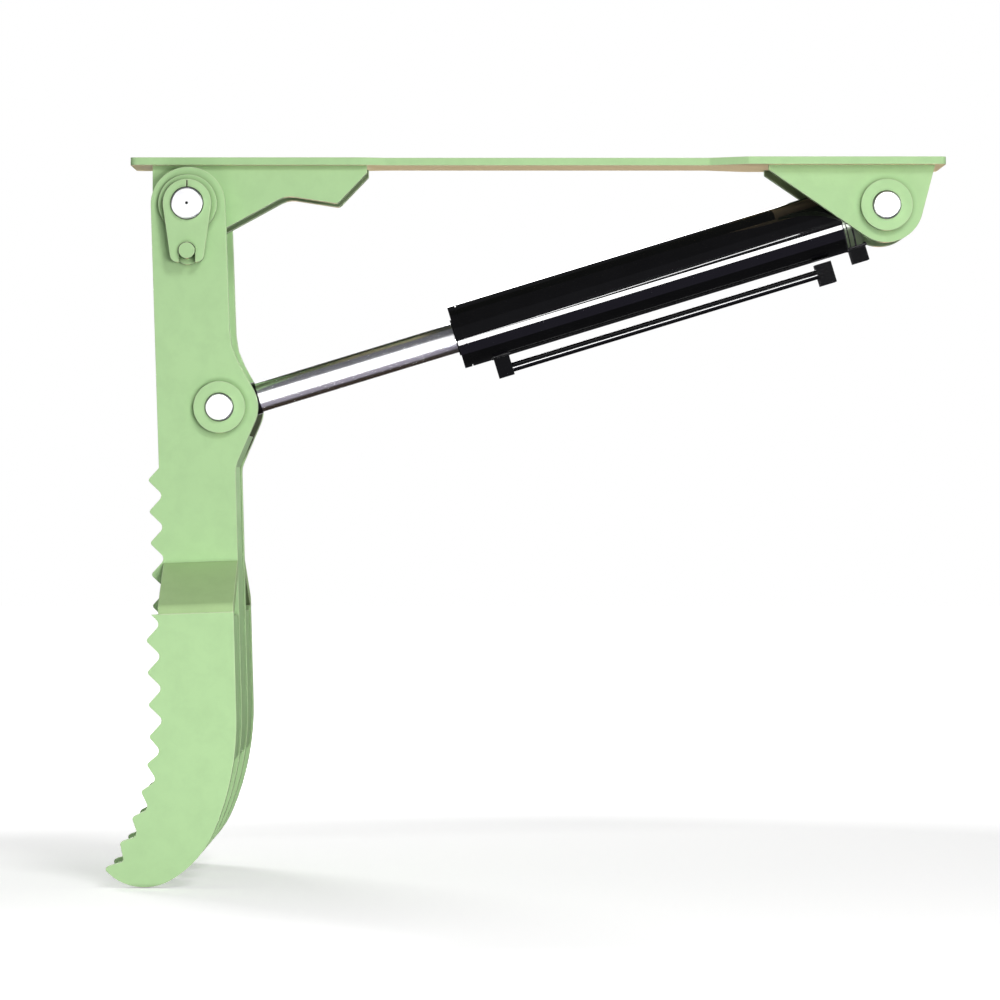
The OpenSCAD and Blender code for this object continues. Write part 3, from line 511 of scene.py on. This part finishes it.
def stage():
    """Pale floor that keeps the object's shadow and fades into white surroundings."""
    floor_mesh = bpy.data.meshes.new("floor")
    floor_mesh.from_pydata([(x * FLOOR_HALF, y * FLOOR_HALF, 0)
                            for x, y in ((-1, -1), (1, -1), (1, 1), (-1, 1))], [], QUAD)
    floor = bpy.data.objects.new("floor", floor_mesh)
    floor.location.z = cad_box[0][2] - FLOOR_GAP
    scene.collection.objects.link(floor)
    mat, tree, sh = new_material("floor")
    tree.links.new(mix(tree, seen_directly(tree), (0.34, 0.34, 0.34), (0.86, 0.86, 0.86)),
                   sh.inputs["Base Color"])
    sh.inputs["Roughness"].default_value = 0.9
    sh.inputs["Specular IOR Level"].default_value = 0.0
    white = tree.nodes.new("ShaderNodeEmission")
    coord = tree.nodes.new("ShaderNodeTexCoord")
    reach = tree.nodes.new("ShaderNodeVectorMath")
    reach.operation = "LENGTH"
    tree.links.new(coord.outputs["Object"], reach.inputs[0])
    fade = map_range(tree, reach.outputs["Value"], 0.9, 2.0, FLOOR_WHITE, 1.0)
    tree.links.new(combine(tree, "MULTIPLY", fade, seen_directly(tree)), white.inputs["Strength"])
    blend = tree.nodes.new("ShaderNodeAddShader")
    tree.links.new(sh.outputs["BSDF"], blend.inputs[0])
    tree.links.new(white.outputs["Emission"], blend.inputs[1])
    out = next(n for n in tree.nodes if n.type == "OUTPUT_MATERIAL")
    tree.links.new(blend.outputs["Shader"], out.inputs["Surface"])
    floor_mesh.materials.append(mat)

    world = bpy.data.worlds.new("world")
    tree, out = bare_tree(world, "OUTPUT_WORLD")
    room = tree.nodes.new("ShaderNodeBackground")
    room.inputs["Color"].default_value = (1, 1, 1, 1)
    room.inputs["Strength"].default_value = ROOM_LIGHT
    white = tree.nodes.new("ShaderNodeBackground")
    white.inputs["Color"].default_value = (1, 1, 1, 1)
    blend = tree.nodes.new("ShaderNodeMixShader")
    tree.links.new(seen_directly(tree), blend.inputs["Fac"])
    tree.links.new(room.outputs["Background"], blend.inputs[1])
    tree.links.new(white.outputs["Background"], blend.inputs[2])
    tree.links.new(blend.outputs["Shader"], out.inputs["Surface"])
    scene.world = world


def softbox(name, place, aim, wide, high, radiance, in_gloss=True, spread=180):
    """Rectangular lamp at a place, turned to its aim; its power follows from its brightness."""
    data = bpy.data.lights.new(name, "AREA")
    data.shape = "RECTANGLE"
    data.size = wide
    data.size_y = high
    data.energy = radiance * wide * high * math.pi
    data.spread = math.radians(spread)
    lamp = bpy.data.objects.new(name, data)
    lamp.location = place
    way = Vector(aim) - Vector(place)
    lamp.rotation_euler = way.to_track_quat("-Z", "Y").to_euler()
    lamp.visible_camera = False
    lamp.visible_glossy = in_gloss
    scene.collection.objects.link(lamp)


MIDDLE = (ROD_PIN + BRACKET) / 2


def round_cylinder(along, turn, radius):
    """A place from its distance along the cylinder, its turn in degrees (0 in front, 90 above,
    180 behind) and its distance from the axis."""
    a = math.radians(turn)
    return MIDDLE + ALONG * along + radius * (UP_CYL * math.sin(a) - ACROSS * math.cos(a))


def gloss_only_piece(name, verts, faces, tint, strength):
    mesh = bpy.data.meshes.new(name)
    mesh.from_pydata(verts, [], faces)
    obj = bpy.data.objects.new(name, mesh)
    scene.collection.objects.link(obj)
    mat, tree, sh = new_material(name)
    sh.inputs["Base Color"].default_value = (0, 0, 0, 1)
    sh.inputs["Specular IOR Level"].default_value = 0.0
    sh.inputs["Emission Color"].default_value = (*tint, 1)
    sh.inputs["Emission Strength"].default_value = strength
    mat.cycles.emission_sampling = "NONE"
    mesh.materials.append(mat)
    for way in ("camera", "diffuse", "shadow", "transmission", "volume_scatter"):
        setattr(obj, "visible_" + way, False)


TENT_R, THIN_R = 0.56, 0.55


def panel(name, low, high, start, end, tint, strength):
    """Part of a round tent along the cylinder that only glossy surfaces show."""
    steps = max(2, int(abs(high - low) / 8))
    verts, faces = [], []
    for i in range(steps + 1):
        turn = low + (high - low) * i / steps
        verts += [round_cylinder(start, turn, TENT_R), round_cylinder(end, turn, TENT_R)]
        if i:
            faces.append((2 * i - 2, 2 * i - 1, 2 * i + 1, 2 * i))
    gloss_only_piece(name, verts, faces, tint, strength)


STRIP = 34.0
scene.view_settings.view_transform = "Standard"
stage()
softbox("key", (0.9, -3.2, -0.25), (0.0, 0, -0.42), 1.3, 0.6, 20.0)
softbox("low", (-0.50, -0.95, -0.80), (-0.42, 0, -0.66), 0.4, 0.08, 15.0)
softbox("high", (1.1, -2.87, 2.14), (0.0, 0, -0.4), 0.9, 0.9, 19.0)
softbox("back", (-1.6, 3.0, 0.8), (0.0, 0, -0.4), 1.2, 1.2, 14.0)
softbox("under", (0.45, 0.9, -0.65), (0.05, 0, 0.0), 1.2, 0.25, 2.0, in_gloss=False, spread=70)
# A dark tent round the cylinder that only glossy surfaces show: first the part that the rod
# reflects, then the part for the barrel with a bright strip low in front and one high behind
WHITE = (1.0, 1.0, 1.0)
GREY = (0.10, 0.10, 0.108)
REACH, SPLIT = 1.25, -0.125
for name, low, high, tint, strength in (
        ("rod_white", -50, 27, WHITE, 1.7), ("rod_grey", 27, 90, (0.14, 0.14, 0.155), 1.0),
        ("rod_olive", 90, 147, (0.030, 0.034, 0.020), 1.0), ("rod_back", 147, 200, WHITE, 1.4),
        ("rod_brown", 200, 270, (0.040, 0.030, 0.022), 1.0),
        ("rod_lavender", 270, 310, (0.34, 0.315, 0.38), 1.0)):
    panel(name, low, high, -REACH, SPLIT, tint, strength)
for name, low, high, tint, strength in (
        ("strip_blue", -35, -32, (0.30, 0.42, 1.0), 6.0),
        ("strip_front", -32, -17, WHITE, STRIP), ("tent_front", -17, 30, (0.13, 0.13, 0.145), 1.0),
        ("tent_top", 30, 147, GREY, 0.7), ("strip_back", 147, 160, WHITE, 10.0),
        ("tent_back", 160, 290, GREY, 0.4), ("tent_low", 290, 328, (0.22, 0.20, 0.30), 1.0)):
    panel(name, low, high, SPLIT, REACH, tint, strength)
# The thin line above the bright strip leaves it towards the bracket
thin = [round_cylinder(along, turn, THIN_R)
        for along, turn in ((-0.12, -17), (0.345, -5.5), (0.345, -3.0), (-0.12, -15.4))]
gloss_only_piece("thin_line", thin, QUAD, WHITE, 26.0)
# A dark strip right under the plate keeps that part of its underside out of the cylinder's
# reflections. Right of it the underside still shows in the top of the barrel.
ROOF_X0, ROOF_X1, ROOF_Y, ROOF_Z = -0.200, 0.270, 0.046, -0.0105
gloss_only_piece("roof", [(ROOF_X0, -ROOF_Y, ROOF_Z), (ROOF_X1, -ROOF_Y, ROOF_Z),
                          (ROOF_X1, ROOF_Y, ROOF_Z), (ROOF_X0, ROOF_Y, ROOF_Z)],
                 QUAD, (0.030, 0.034, 0.026), 1.0)
# White cards in front and behind, which the flat ends of the pins mirror
CARD_AWAY, CARD_X, CARD_Z, CARD_BRIGHT = 0.5, 0.06, 0.04, 4.0
for name, x, z in (("pivot", PIVOT.x * 1.08, -0.025), ("rod_pin", ROD_PIN.x * 1.08, -0.288),
                   ("bracket", BRACKET.x * 1.10, -0.022)):
    for way in (-1, 1):
        y = way * CARD_AWAY
        gloss_only_piece("card_%s_%d" % (name, way + 1),
                         [(x - CARD_X, y, z - CARD_Z), (x + CARD_X, y, z - CARD_Z),
                          (x + CARD_X, y, z + CARD_Z), (x - CARD_X, y, z + CARD_Z)],
                         QUAD, WHITE, CARD_BRIGHT)

# The camera looks level along +Y, as the photograph was taken, from about 5.6 m away
PX, PICTURE_PX = 0.0012, 1000
CAMERA_D, CAMERA_X, CAMERA_Z = 5.56, -0.0448, -0.4074
camera_data = bpy.data.cameras.new("camera")
camera_data.sensor_width = 36.0
camera_data.lens = 36.0 * CAMERA_D / (PICTURE_PX * PX)
camera = bpy.data.objects.new("camera", camera_data)
camera.location = (CAMERA_X, -CAMERA_D, CAMERA_Z)
camera.rotation_euler = (math.radians(90), 0, 0)
scene.collection.objects.link(camera)
scene.camera = camera
